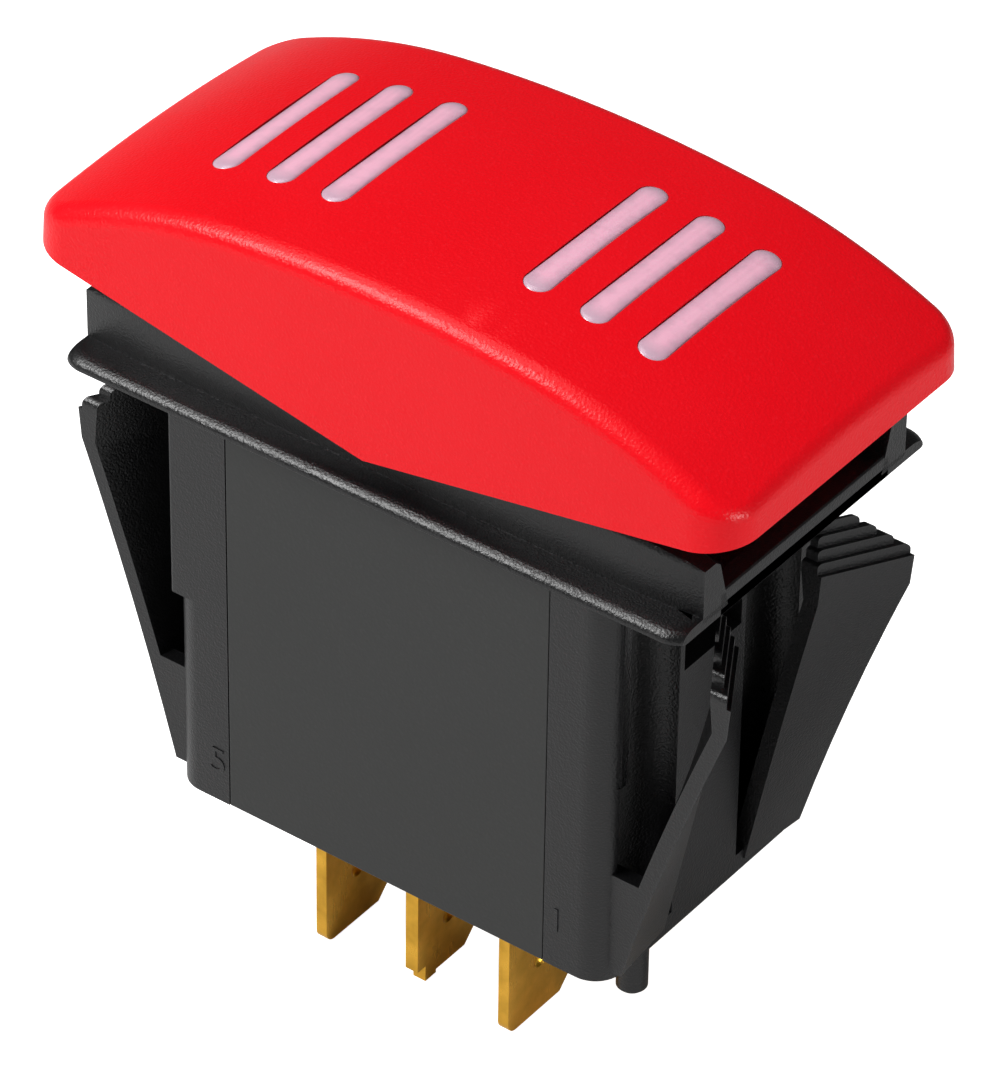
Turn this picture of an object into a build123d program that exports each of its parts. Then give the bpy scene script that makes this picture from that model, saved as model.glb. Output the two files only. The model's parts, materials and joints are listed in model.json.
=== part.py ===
from build123d import *
import math
import os

# Panel rocker switch with six blade terminals, in millimetres.
# Z = 0 is the top face of the panel that the flange sits on, and +Z is the pressed side.
# X runs along the rocker, Y runs across it, and the origin is the middle of the panel cut-out.

# Shared fits
overrun = 1.0
seat_gap = 0.04
seam_gap = 0.06

# Body under the panel
body_width = 20.8
body_depth = 30.5
base_length = 24.0
base_wall = 1.5
base_floor = 2.6
end_reach = 16.5
end_corner = 2.0
end_shoulder_depth = 15.8
end_shoulder_round = 0.3
partition_wall = 1.2
end_recess_half_width = 2.9
end_recess_top_depth = 1.2
end_recess_floor_depth = 10.8
end_recess_inset = 2.5

# Flange and rails of the mounting bracket
flange_length = 45.3
flange_margin = 0.3
flange_thickness = 1.6
flange_corner = 2.9
flange_nose = 1.15
flange_underside_round = 0.25
window_length = 22.0
window_clearance = 0.75
rail_height = 4.7
rail_breadth = 3.2
rail_hollow = 0.8
rail_inner_lean = 0.9
rail_round = 0.45
rail_end_round = 2.2
ear_half_length = 3.2
ear_thickness = 2.3
notch_width = 4.6
notch_height = 1.15
notch_depth = 0.4
notch_place = 5.0

# Snap-in wings
scoop_radius = 2.9
scoop_place = 6.2
scoop_offset = 0.5
scoop_floor = 1.4
web_floor = 7.5
wing_thickness = 1.05
wing_inner = 4.2
wing_outer = 9.4
wing_root_depth = 29.8
wing_root_reach = 17.1
wing_root_lean = 0.5
wing_waist_reach = 21.55
wing_waist_lean = 2.05
wing_waist_depth = 15.2
wing_knee_reach = 24.05
wing_knee_lean = 3.05
wing_knee_depth = 8.2
wing_head_reach = 24.25
wing_head_lean = 3.1
wing_head_depth = 6.0
wing_head_thickness = 1.45
rib_count = 4
rib_pitch = 0.3
rib_rise = 0.8
rib_shortening = 0.87
rib_start_step = 0.26
rib_end_round = 0.5
rib_start_round = 0.35
rib_root = 0.2

# Locating post beside the terminals
post_radius = 1.0
post_length = 5.2
post_x = 14.2
post_y = -4.0
post_round = 0.2

# Rocker actuator
rocker_length = 52.0
rocker_side_gap = 1.8
rocker_corner = 3.3
rocker_crest = 15.1
rocker_middle_radius = 95.0
rocker_end_radius = 40.0
rocker_middle_reach = 11.0
rocker_cross_radius = 116.0
rocker_draft_angle = 3.0
rocker_wall = 1.1
rocker_skin = 1.3
rocker_ridge = 1.3
rocker_apex = 2.8
rocker_half_angle = 9.75
rocker_path_extra = 3.0
rocker_section_depth = 18.0
rocker_rib = 1.0
rocker_rib_depth = 2.2

# Indicator lenses
bar_length = 12.9
bar_width = 1.95
bar_places = [7.3, 11.35, 15.4]
bar_sink = 0.08
lens_plate_margin = 0.9
lens_plate = 0.9
lens_gap = 0.03

# Rocker carrier and its trunnions
pivot_height = 5.2
trunnion_radius = 1.5
trunnion_gap = 0.06
trunnion_end_gap = 0.4
carrier_half_length = 4.6
carrier_side_gap = 0.55
carrier_top = 9.0
carrier_plate = 1.6
web_half_length = 2.4
carrier_bottom = -14.6
tube_radius = 2.6
tube_web = 1.4
peg_radius = 1.2
peg_length = 2.6
peg_x = 3.0
peg_y = 5.0
peg_gap = 0.03
socket_wall = 1.0

# Poles, plungers and springs
pole_place = 4.4
bore_radius = 1.75
plunger_radius = 1.66
plunger_length = 6.5
nose_radius = 1.05
nose_gap = 0.06
spring_radius = 1.3
spring_wire = 0.36
spring_turns = 5.0
spring_length = 6.0

# Contact rockers and contacts
arm_hinge_depth = 19.0
arm_thickness = 0.8
arm_width = 4.8
arm_half_length = 9.9
arm_valley_reach = 4.2
arm_bend = 0.5
hub_radius = 1.0
hub_gap = 0.04
arm_ratio = 0.8
throw_angle = 10.0
button_place = 8.4
button_radius = 1.5
button_height = 0.7
button_dome = 4.0
button_rim = 0.35
contact_stop_gap = 0.06

# Blade terminals
blade_width = 6.35
blade_thickness = 0.8
blade_tip_depth = 40.95
blade_pitch = 7.1
blade_chamfer = 1.0
blade_round = 0.85
shelf_half_length = 1.65
dimple_radius = 0.6
dimple_depth = 0.3
dimple_height = 4.1
leaf_thickness = 0.48
cradle_wrap_angle = 62.0
nib_offset = 0.8
nib_width = 1.1
nib_length = 1.2
nib_relief = 0.25
centre_tip_rise = 0.2
centre_chamfer = 1.5

# Indicator lamps
lamp_radius = 1.5
lamp_flange_radius = 1.85
lamp_flange = 0.8
lamp_height = 4.2
lamp_x = 8.6
lamp_seat_depth = 6.5
lamp_boss_radius = 2.0
lamp_boss_height = 4.0
lead_size = 0.45
lead_spread = 1.05

# Latch between base and bracket
latch_width = 7.0
latch_height = 1.6
latch_proud = 0.5
latch_depth = 8.0

# Worked-out places shared by several pieces
window_width = 2 * (pole_place + tube_radius + window_clearance)
rail_top_reach = window_width / 2 + rail_breadth
rail_waist_reach = rail_top_reach - rail_hollow
rocker_width = 2 * (rail_top_reach + rocker_side_gap)
flange_width = rocker_width + 2 * flange_margin
carrier_half_width = window_width / 2 - carrier_side_gap
half_body = body_width / 2
half_base = base_length / 2
base_inner_x = half_base - base_wall
base_inner_y = half_body - base_wall
floor_top = base_floor - body_depth
hinge_z = -arm_hinge_depth
arm_top = hinge_z + arm_thickness
nose_tip = arm_top + nose_gap
nose_centre = nose_tip + nose_radius
nose_swing = pivot_height - nose_centre
plunger_shoulder = nose_centre + nose_radius
plunger_top = plunger_shoulder + plunger_length
bore_top = plunger_top + spring_length
blade_near_edge = pole_place + blade_width / 2
blade_far_edge = pole_place - blade_width / 2


def box(x0, x1, y0, y1, z0, z1):
    """Box between two corners."""
    place = Pos((x0 + x1) / 2, (y0 + y1) / 2, (z0 + z1) / 2)
    return place * Box(abs(x1 - x0), abs(y1 - y0), abs(z1 - z0))


def post(radius, x, y, z0, z1):
    """Upright cylinder."""
    return Pos(x, y, (z0 + z1) / 2) * Cylinder(radius, z1 - z0)


def cross_pin(radius, x, z, y0, y1):
    """Cylinder along Y."""
    return Pos(x, (y0 + y1) / 2, z) * Rot(90, 0, 0) * Cylinder(radius, y1 - y0)


def both_sides(solid, plane):
    """A solid and its mirror image, as one."""
    return solid + mirror(solid, about=plane)


def across(profile, y0, y1):
    """Outline of (x, z) points and arcs, extruded along Y."""
    face = make_face(profile)
    return Pos(0, y1, 0) * extrude(Plane.XZ * face, y1 - y0)


def along(profile, x0, x1):
    """Outline of (y, z) points and arcs, extruded along X."""
    face = make_face(profile)
    return Pos(x0, 0, 0) * extrude(Plane.YZ * face, x1 - x0)


# Rocker actuator

def crest_path(skin):
    """Long profile of the rocker's top: a flat arc that runs into tighter ones at the ends."""
    middle = rocker_middle_radius - skin
    end = rocker_end_radius - skin
    start_sine = rocker_middle_reach / rocker_middle_radius
    start = math.asin(start_sine)
    finish = math.asin(start_sine + (rocker_length / 2 + rocker_path_extra - rocker_middle_reach)
                       / rocker_end_radius)
    top = rocker_crest - skin
    centre_x = (rocker_middle_radius - rocker_end_radius) * math.sin(start)
    centre_z = top - middle + (rocker_middle_radius - rocker_end_radius) * math.cos(start)

    def spot(angle, side):
        return (side * (centre_x + end * math.sin(angle)), 0, centre_z + end * math.cos(angle))

    half_way = (start + finish) / 2
    left = ThreePointArc(spot(finish, -1), spot(half_way, -1), spot(start, -1))
    crown = ThreePointArc(spot(start, -1), (0, 0, top), spot(start, 1))
    right = ThreePointArc(spot(start, 1), spot(half_way, 1), spot(finish, 1))
    return Wire([left, crown, right])


def rocker_form(inset, skin):
    """Rocker's outer form, or the form of its hollow when inset."""
    path = crest_path(skin)
    reach = rocker_width / 2 + overrun
    sag = reach ** 2 / (2 * (rocker_cross_radius - skin))
    outline = [ThreePointArc((-reach, -sag), (0, 0), (reach, -sag)),
               Polyline((reach, -sag), (reach, -rocker_section_depth),
                        (-reach, -rocker_section_depth), (-reach, -sag))]
    start = Plane(origin=path @ 0, x_dir=(0, 1, 0), z_dir=path % 0)
    section = start * make_face(outline)
    body = sweep(section, path=path)
    plan = RectangleRounded(rocker_length - 2 * inset, rocker_width - 2 * inset,
                            max(rocker_corner - inset, rocker_wall))
    sides = extrude(plan, rocker_crest + overrun, taper=rocker_draft_angle)
    return body & sides


def underside_height(x):
    """Height of the rocker's lower rim, which rises from the middle to both ends."""
    return rocker_apex + abs(x) * math.tan(math.radians(rocker_half_angle))


def below_rim():
    """Everything under the rocker's lower rim."""
    far = rocker_length / 2 + overrun
    reach = rocker_width / 2 + overrun
    outline = Polyline((-far, -overrun), (far, -overrun), (far, underside_height(far)),
                       (0, rocker_apex), (-far, underside_height(far)), (-far, -overrun))
    return across(outline, -reach, reach)


def capsule(length, width, x, z0, z1):
    """Upright prism with round ends, long across the rocker."""
    plan = Pos(x, 0, z0) * Rot(0, 0, 90) * SlotOverall(length, width)
    return extrude(plan, z1 - z0)


def top_rim_edges(solid):
    """Edges between the rocker's crowned top and its sides."""
    chosen = []
    for edge in solid.edges():
        ends = [edge @ 0, edge @ 0.5, edge @ 1]
        share_up = [(p.Z - underside_height(p.X)) for p in ends]
        if min(share_up) > rocker_skin:
            box_size = edge.bounding_box().size
            inside = max(abs(p.Y) for p in ends) < rocker_width / 4
            crossing = box_size.Y > rocker_width / 2 and abs(ends[1].X) < rocker_length / 2 - overrun
            if not inside and not crossing:
                chosen.append(edge)
    for edge in solid.edges():
        middle = edge @ 0.5
        if abs(middle.Y) < overrun and abs(middle.X) > rocker_length / 2 - rocker_ridge - overrun:
            if middle.Z > underside_height(middle.X) + overrun:
                chosen.append(edge)
    return chosen


def rocker_actuator():
    """Hollow red cap that the finger presses."""
    form = rocker_form(0, 0)
    form = form - below_rim()
    form = fillet(top_rim_edges(form), rocker_ridge)
    hollow = rocker_form(rocker_wall, rocker_skin)
    cap = form - hollow
    for side in (-1, 1):
        for place in bar_places:
            cap -= capsule(bar_length, bar_width, side * place, 0, rocker_crest + overrun)
    ribs = box(-rocker_rib / 2, rocker_rib / 2, -rocker_width / 2, rocker_width / 2,
               rocker_crest - rocker_skin - rocker_rib_depth, rocker_crest)
    sockets = Part()
    for side_x in (-1, 1):
        for side_y in (-1, 1):
            sockets += post(peg_radius + peg_gap + socket_wall, side_x * peg_x, side_y * peg_y,
                            carrier_top + seat_gap, rocker_crest)
    inner = (ribs + sockets) & hollow
    for side_x in (-1, 1):
        for side_y in (-1, 1):
            inner -= post(peg_radius + peg_gap, side_x * peg_x, side_y * peg_y,
                          carrier_top - overrun, carrier_top + peg_length + seat_gap)
    return cap + inner


def lens(side):
    """Clear insert with three bars that fill the slots of one half."""
    outer = rocker_form(rocker_ridge, bar_sink)
    shell = rocker_form(rocker_wall + lens_gap, rocker_skin + lens_gap)
    core = rocker_form(rocker_wall + lens_gap, rocker_skin + lens_gap + lens_plate)
    x0 = bar_places[0] - bar_width / 2 - lens_plate_margin
    x1 = bar_places[-1] + bar_width / 2 + lens_plate_margin
    half = bar_length / 2 + lens_plate_margin
    plate = box(side * x0, side * x1, -half, half, 0, rocker_crest)
    body = plate & shell
    body = body - core
    for place in bar_places:
        bar = capsule(bar_length - 2 * lens_gap, bar_width - 2 * lens_gap, side * place,
                      0, rocker_crest + overrun)
        body += (bar & outer) - core
    return body


# Mounting bracket

def rail():
    """Rail along one long side, with a hollowed outer face and a round top."""
    inner = window_width / 2
    outline = [Polyline((-inner, 0), (-inner, flange_thickness),
                        (-inner - rail_inner_lean, rail_height - rail_round),
                        (-inner - rail_inner_lean - rail_round, rail_height),
                        (-rail_top_reach + rail_round, rail_height)),
               ThreePointArc((-rail_top_reach + rail_round, rail_height),
                             (-rail_top_reach + rail_round * (1 - math.sqrt(1 / 2)),
                              rail_height - rail_round * (1 - math.sqrt(1 / 2))),
                             (-rail_top_reach, rail_height - rail_round)),
               ThreePointArc((-rail_top_reach, rail_height - rail_round),
                             (-rail_waist_reach, (rail_height + flange_thickness) / 2),
                             (-rail_top_reach, flange_thickness)),
               Polyline((-rail_top_reach, flange_thickness), (-rail_top_reach, 0), (-inner, 0))]
    return along(outline, -flange_length / 2, flange_length / 2)


def bearing_ear():
    """Raised ear on one rail that carries a trunnion."""
    inner = window_width / 2
    top = pivot_height
    ear = cross_pin(ear_half_length, 0, top, -inner - ear_thickness, -inner)
    ear += box(-ear_half_length, ear_half_length, -inner - ear_thickness, -inner, 0, top)
    return ear


def flange():
    """Flat frame that covers the cut-out, with a rounded rim."""
    plan = RectangleRounded(flange_length, flange_width, flange_corner)
    plate = extrude(plan, flange_thickness)
    rim = [e for e in plate.edges() if abs((e @ 0.5).Z - flange_thickness) < seat_gap]
    long_rim = [e for e in rim if abs((e @ 0.5).Y) > flange_width / 2 - flange_corner]
    plate = fillet(long_rim, flange_nose)
    foot = [e for e in plate.edges() if max(abs((e @ 0).Z), abs((e @ 1).Z)) < seat_gap]
    long_foot = [e for e in foot if abs((e @ 0.5).Y) > flange_width / 2 - flange_corner]
    return fillet(long_foot, flange_underside_round)


def end_block():
    """End of the bracket beside the base, with a scoop behind each wing and a recess between."""
    x0 = half_base + seam_gap
    block = Part()
    for low, high, radius in ((-body_depth, -end_shoulder_depth, end_corner),
                              (-end_shoulder_depth, flange_thickness, end_shoulder_round)):
        stage = box(x0, end_reach, -half_body, half_body, low, high)
        upright = [e for e in stage.edges().filter_by(Axis.Z) if (e @ 0.5).X > x0 + seam_gap]
        block += fillet(upright, radius)
    for side in (-1, 1):
        block -= post(scoop_radius, end_reach + scoop_offset, side * scoop_place,
                      scoop_floor - body_depth, 0)
    pocket = box(x0 - overrun, x0 + latch_proud + seam_gap, -latch_width / 2 - seam_gap,
                 latch_width / 2 + seam_gap, -latch_depth - latch_height - seam_gap,
                 -latch_depth + seam_gap)
    recess = box(end_reach - end_recess_inset, end_reach + overrun, -end_recess_half_width,
                 end_recess_half_width, -end_recess_floor_depth, -end_recess_top_depth)
    return block - pocket - recess


def wing_section(reach, lean, thickness, depth):
    """Level cut through one wing: a slim band that leans outwards away from the middle."""
    inner_x = reach - lean
    return Polyline((inner_x, wing_inner, -depth), (reach, wing_outer, -depth),
                    (reach - thickness, wing_outer, -depth),
                    (inner_x - thickness, wing_inner, -depth), (inner_x, wing_inner, -depth))


def rib(step):
    """One step of the wing's head; each is higher, further in and shorter than the last."""
    span = math.hypot(wing_head_lean, wing_outer - wing_inner)
    run = Vector(wing_head_lean, wing_outer - wing_inner, 0) / span
    shift = step * rib_pitch
    corner = (wing_head_reach - wing_head_lean - shift, wing_inner, 0)
    side = Plane(origin=corner, x_dir=run, z_dir=(run.Y, -run.X, 0))
    start = (step - 1) * rib_start_step
    end = span - (step - 1) * rib_shortening
    foot = -wing_head_depth - rib_root
    top = -wing_head_depth + step * rib_rise
    slack = 1 - math.sqrt(1 / 2)
    outline = [Polyline((start + rib_start_round, top), (end - rib_end_round, top)),
               ThreePointArc((end - rib_end_round, top),
                             (end - rib_end_round * slack, top - rib_end_round * slack),
                             (end, top - rib_end_round)),
               Polyline((end, top - rib_end_round), (end, foot), (start, foot),
                        (start, top - rib_start_round)),
               ThreePointArc((start, top - rib_start_round),
                             (start + rib_start_round * slack, top - rib_start_round * slack),
                             (start + rib_start_round, top))]
    return extrude(side * make_face(outline), wing_head_thickness - shift, dir=(-1, 0, 0))


def wing():
    """One sprung wing, joined to the end block at its foot and stepped at its head."""
    root, waist, knee, head = [make_face(wing_section(*values)) for values in (
        (wing_root_reach, wing_root_lean, wing_thickness, wing_root_depth),
        (wing_waist_reach, wing_waist_lean, wing_thickness, wing_waist_depth),
        (wing_knee_reach, wing_knee_lean, wing_thickness, wing_knee_depth),
        (wing_head_reach, wing_head_lean, wing_head_thickness, wing_head_depth))]
    plate = loft([root, waist, knee]) + loft([knee, head], ruled=True)
    web_share = web_floor / (wing_root_depth - wing_waist_depth)
    web_reach = wing_root_reach + (wing_waist_reach - wing_root_reach) * web_share
    web_start = end_reach - end_corner
    web_top = web_floor - wing_root_depth
    web = across(Polyline((web_start, -wing_root_depth),
                          (wing_root_reach - wing_thickness, -wing_root_depth),
                          (web_reach - wing_thickness, web_top), (web_start, web_top),
                          (web_start, -wing_root_depth)), wing_outer - wing_thickness, wing_outer)
    foot = box(web_start, wing_root_reach - wing_root_lean, wing_inner, wing_outer,
               -wing_root_depth, scoop_floor - body_depth)
    body = plate + web + foot
    for step in range(1, rib_count + 1):
        body += rib(step)
    return body


def mounting_bracket():
    """Black moulding with flange, rails, end blocks and four snap-in wings."""
    rails = both_sides(rail(), Plane.XZ)
    rail_plan = RectangleRounded(flange_length, 2 * rail_top_reach, rail_end_round)
    frame = flange() + (rails & extrude(rail_plan, rail_height))
    frame += both_sides(bearing_ear(), Plane.XZ)
    frame -= box(-window_length / 2, window_length / 2, -window_width / 2, window_width / 2,
                 -overrun, rocker_crest)
    for side in (-1, 1):
        frame -= cross_pin(trunnion_radius + trunnion_gap, 0, pivot_height,
                           side * window_width / 2 - ear_thickness - overrun,
                           side * window_width / 2 + ear_thickness + overrun)
    side_wings = both_sides(wing(), Plane.XZ)
    one_end = end_block() + side_wings
    notch = box(flange_length / 2 - notch_depth, flange_length / 2 + overrun,
                -notch_place - notch_width / 2, notch_width / 2 - notch_place,
                -overrun, notch_height)
    body = frame + both_sides(one_end, Plane.YZ)
    body = body - notch - Rot(0, 0, 180) * notch
    peg = post(post_radius, post_x, post_y, -body_depth - post_length, -body_depth)
    tip = [e for e in peg.edges() if (e @ 0.5).Z < -body_depth - post_length / 2
           and abs((e @ 0).Z - (e @ 0.5).Z) < seat_gap]
    return body + chamfer(tip, post_round)


# Base and its fixed metal parts

def switch_base():
    """Open-topped housing that holds the terminals, with a wall between the two poles."""
    shell = box(-half_base, half_base, -half_body, half_body, -body_depth, -seat_gap)
    shell -= box(-base_inner_x, base_inner_x, -base_inner_y, base_inner_y, floor_top, overrun)
    shell += box(-base_inner_x, base_inner_x, -partition_wall / 2, partition_wall / 2,
                 floor_top, -lamp_seat_depth - lamp_boss_height)
    swing = box(-lamp_x + lamp_boss_radius, lamp_x - lamp_boss_radius, -partition_wall,
                partition_wall, nose_centre - tube_radius, overrun)
    shell -= swing
    seat_z = -lamp_seat_depth
    for side in (-1, 1):
        boss = box(side * (lamp_x - lamp_boss_radius), side * base_inner_x,
                   -lamp_boss_radius, lamp_boss_radius, seat_z - lamp_boss_height, seat_z)
        shell += boss
        for row in (-1, 1):
            shell -= lead_shape(side, row, seam_gap, seat_z - lamp_boss_height - overrun,
                                seat_z + overrun)
        shell += box(side * half_base, side * (half_base + latch_proud), -latch_width / 2,
                     latch_width / 2, -latch_depth - latch_height, -latch_depth)
    for row in (-1, 1):
        for column in (-1, 0, 1):
            thick = 2 * leaf_thickness if column == 0 else blade_thickness
            x = column * blade_pitch
            shell -= box(x - thick / 2 - seat_gap, x + thick / 2 + seat_gap,
                         row * (blade_near_edge + seat_gap), row * (blade_far_edge - seat_gap),
                         -body_depth - overrun, floor_top + overrun)
    return shell


def lead_shape(side, row, gap, z0, z1):
    """Square lead of a lamp, or the hole for it."""
    half = lead_size / 2 + gap
    y = row * (lead_spread + lead_size / 2)
    x = side * lamp_x
    return box(x - half, x + half, y - half, y + half, z0, z1)


def blade_outline(top):
    """Side view of a blade in Y and Z, rounded at one corner of its tip and clipped at the other."""
    near = -blade_near_edge
    far = -blade_far_edge
    tip = -blade_tip_depth
    slack = blade_round * (1 - math.sqrt(1 / 2))
    return [Polyline((near, top), (near, tip + blade_round)),
            ThreePointArc((near, tip + blade_round), (near + slack, tip + slack),
                          (near + blade_round, tip)),
            Polyline((near + blade_round, tip), (far - blade_chamfer, tip),
                     (far, tip + blade_chamfer), (far, top), (near, top))]


def centre_outline(top):
    """Side view of the doubled blade, whose tip ends in a short nib."""
    near = -blade_near_edge
    far = -blade_far_edge
    low = centre_tip_rise - blade_tip_depth
    edge = low + nib_relief
    nib_start = near + nib_offset
    nib_end = nib_start + nib_width
    return Polyline((near, top), (near, low + nib_length), (nib_start, low + nib_length),
                    (nib_start, low), (nib_end, low), (nib_end, edge), (far - centre_chamfer, edge),
                    (far, edge + centre_chamfer), (far, top), (near, top))


def dimple(x, side):
    """Shallow round pit that a push-on connector clicks into."""
    radius = (dimple_radius ** 2 + dimple_depth ** 2) / (2 * dimple_depth)
    return Pos(x + side * (radius - dimple_depth), -pole_place, dimple_height - blade_tip_depth) \
        * Sphere(radius)


def fixed_contact_top():
    """Height of the fixed contacts, which the moving ones reach at the end of the throw."""
    angle = math.radians(arm_ratio * throw_angle)
    rise = shoulder_rise() - button_height
    lowest = (rise + button_dome) * math.cos(angle) - button_place * math.sin(angle) - button_dome
    return hinge_z + lowest - contact_stop_gap


def outer_terminal(column):
    """Blade whose inner end is bent over as a shelf under the fixed contact."""
    x = column * blade_pitch
    shelf_top = fixed_contact_top() - button_height
    blade = along(blade_outline(shelf_top), x - blade_thickness / 2, x + blade_thickness / 2)
    x_out = column * (button_place + shelf_half_length)
    shelf = box(x - column * blade_thickness / 2, x_out, -blade_near_edge, -blade_far_edge,
                shelf_top - blade_thickness, shelf_top)
    blade += shelf
    blade -= dimple(x + blade_thickness / 2, 1)
    return blade


def centre_terminal():
    """Doubled blade whose two leaves part at the top to form a cradle."""
    wrap = math.radians(cradle_wrap_angle)
    inner = hub_radius + hub_gap
    outer = inner + leaf_thickness
    ring = [ThreePointArc((-outer * math.sin(wrap), hinge_z - outer * math.cos(wrap)),
                          (0, hinge_z - outer),
                          (outer * math.sin(wrap), hinge_z - outer * math.cos(wrap))),
            Line((outer * math.sin(wrap), hinge_z - outer * math.cos(wrap)),
                 (inner * math.sin(wrap), hinge_z - inner * math.cos(wrap))),
            ThreePointArc((inner * math.sin(wrap), hinge_z - inner * math.cos(wrap)),
                          (0, hinge_z - inner),
                          (-inner * math.sin(wrap), hinge_z - inner * math.cos(wrap))),
            Line((-inner * math.sin(wrap), hinge_z - inner * math.cos(wrap)),
                 (-outer * math.sin(wrap), hinge_z - outer * math.cos(wrap)))]
    cradle = across(ring, -pole_place - arm_width / 2, -pole_place + arm_width / 2)
    blade = along([centre_outline(hinge_z - inner - leaf_thickness / 2)],
                  -leaf_thickness, leaf_thickness)
    blade -= dimple(leaf_thickness, 1)
    return blade + cradle


def fixed_contact(column):
    """Silver button riveted to a shelf."""
    top = fixed_contact_top()
    return post(button_radius, column * button_place, -pole_place, top - button_height, top)


# Moving contact parts

def valley_radius():
    """Radius of the contact rocker's hollow, which keeps the plunger's nose at one gap."""
    height = nose_centre - hinge_z
    across_rate = nose_swing - height * arm_ratio
    rise_rate = nose_swing * arm_ratio + nose_swing / 2 - height * arm_ratio ** 2 / 2
    return across_rate ** 2 / (2 * rise_rate) + nose_radius + nose_gap


def shoulder_rise():
    """Height of the contact rocker's flat ends above its middle."""
    radius = valley_radius()
    return radius - math.sqrt(radius ** 2 - arm_valley_reach ** 2)


def contact_rocker():
    """Copper see-saw with a hollow for the plunger and a round hub in the cradle."""
    radius = valley_radius()
    rise = shoulder_rise()
    reach = arm_valley_reach
    shoulder = reach + arm_bend
    low = radius + arm_thickness
    low_reach = reach + arm_thickness / 2
    low_rise = low - math.sqrt(low ** 2 - low_reach ** 2)
    low_end = hinge_z + rise
    outline = [ThreePointArc((-reach, arm_top + rise), (0, arm_top), (reach, arm_top + rise)),
               Polyline((reach, arm_top + rise), (arm_half_length, arm_top + rise),
                        (arm_half_length, low_end), (shoulder + arm_thickness / 2, low_end),
                        (low_reach, hinge_z + min(low_rise, rise))),
               ThreePointArc((low_reach, hinge_z + min(low_rise, rise)), (0, hinge_z),
                             (-low_reach, hinge_z + min(low_rise, rise))),
               Polyline((-low_reach, hinge_z + min(low_rise, rise)),
                        (-shoulder - arm_thickness / 2, low_end), (-arm_half_length, low_end),
                        (-arm_half_length, arm_top + rise), (-reach, arm_top + rise))]
    strip = across(outline, -pole_place - arm_width / 2, -pole_place + arm_width / 2)
    hub = cross_pin(hub_radius, 0, hinge_z, -pole_place - arm_width / 2, -pole_place + arm_width / 2)
    hub -= box(-2 * hub_radius, 2 * hub_radius, -pole_place - arm_width, -pole_place + arm_width,
               hinge_z + arm_thickness / 2, hinge_z + 2 * hub_radius)
    return strip + hub


def moving_contact(column):
    """Domed silver button under one end of a contact rocker."""
    top = hinge_z + shoulder_rise()
    button = post(button_radius, column * button_place, -pole_place, top - button_height, top)
    dome = Pos(column * button_place, -pole_place, top - button_height + button_dome) \
        * Sphere(button_dome)
    rim = post(button_radius, column * button_place, -pole_place, top - button_rim, top)
    return (button & dome) + (rim & button)


def plunger():
    """Round-nosed pin that slides in a tube of the carrier."""
    body = post(plunger_radius, 0, -pole_place, plunger_shoulder, plunger_top)
    neck = post(nose_radius, 0, -pole_place, nose_centre, plunger_shoulder)
    return body + neck + Pos(0, -pole_place, nose_centre) * Sphere(nose_radius)


def plunger_spring():
    """Coil spring that pushes a plunger down."""
    height = spring_length - spring_wire - 2 * seat_gap
    path = Helix(pitch=height / spring_turns, height=height, radius=spring_radius)
    start = Plane(origin=path @ 0, z_dir=path % 0)
    coil = sweep(start * Circle(spring_wire / 2), path=path)
    return Pos(0, -pole_place, plunger_top + spring_wire / 2 + seat_gap) * coil


def rocker_carrier():
    """Black inner frame that swings on two trunnions and holds both plungers."""
    plate = box(-carrier_half_length, carrier_half_length, -carrier_half_width,
                carrier_half_width, carrier_top - carrier_plate, carrier_top)
    web = box(-web_half_length, web_half_length, -carrier_half_width, carrier_half_width,
              bore_top, carrier_top)
    body = plate + web
    reach = window_width / 2 + ear_thickness - trunnion_end_gap
    body += cross_pin(trunnion_radius, 0, pivot_height, -reach, reach)
    for row in (-1, 1):
        tube = post(tube_radius, 0, row * pole_place, carrier_bottom, bore_top + tube_web)
        body += tube
    body += box(-tube_web / 2, tube_web / 2, -pole_place, pole_place, carrier_bottom, bore_top)
    for row in (-1, 1):
        body -= post(bore_radius, 0, row * pole_place, carrier_bottom - overrun, bore_top)
    for side_x in (-1, 1):
        for side_y in (-1, 1):
            body += post(peg_radius, side_x * peg_x, side_y * peg_y, carrier_top - carrier_plate,
                         carrier_top + peg_length)
    return body


def indicator_lamp(side):
    """Small clear-domed lamp with two leads that rest on the outer terminals."""
    seat_z = -lamp_seat_depth
    x = side * lamp_x
    body = post(lamp_flange_radius, x, 0, seat_z, seat_z + lamp_flange)
    body += post(lamp_radius, x, 0, seat_z, seat_z + lamp_height - lamp_radius)
    body += Pos(x, 0, seat_z + lamp_height - lamp_radius) * Sphere(lamp_radius)
    lead_end = fixed_contact_top() - button_height
    for row in (-1, 1):
        body += lead_shape(side, row, 0, lead_end, seat_z + lamp_flange / 2)
    return body


def far_row(solid):
    """The same piece for the pole on the far side."""
    return mirror(solid, about=Plane.XZ)


def all_parts():
    """Every piece by the name of its file."""
    parts = {
        "mounting_bracket": mounting_bracket(),
        "switch_base": switch_base(),
        "rocker_actuator": rocker_actuator(),
        "lens_left": lens(-1),
        "lens_right": lens(1),
        "rocker_carrier": rocker_carrier(),
        "lamp_left": indicator_lamp(-1),
        "lamp_right": indicator_lamp(1),
    }
    near = {
        "plunger": plunger(),
        "plunger_spring": plunger_spring(),
        "contact_rocker": contact_rocker(),
        "terminal_centre": centre_terminal(),
    }
    for column, label in ((-1, "left"), (1, "right")):
        near["terminal_" + label] = outer_terminal(column)
        near["fixed_contact_" + label] = fixed_contact(column)
        near["moving_contact_" + label] = moving_contact(column)
    for name, solid in near.items():
        parts["near_" + name] = solid
        parts["far_" + name] = far_row(solid)
    return parts


def as_solid(shape):
    """One plain solid for the file."""
    solids = shape.solids()
    if len(solids) == 1:
        return solids[0]
    return Compound(solids)


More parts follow.
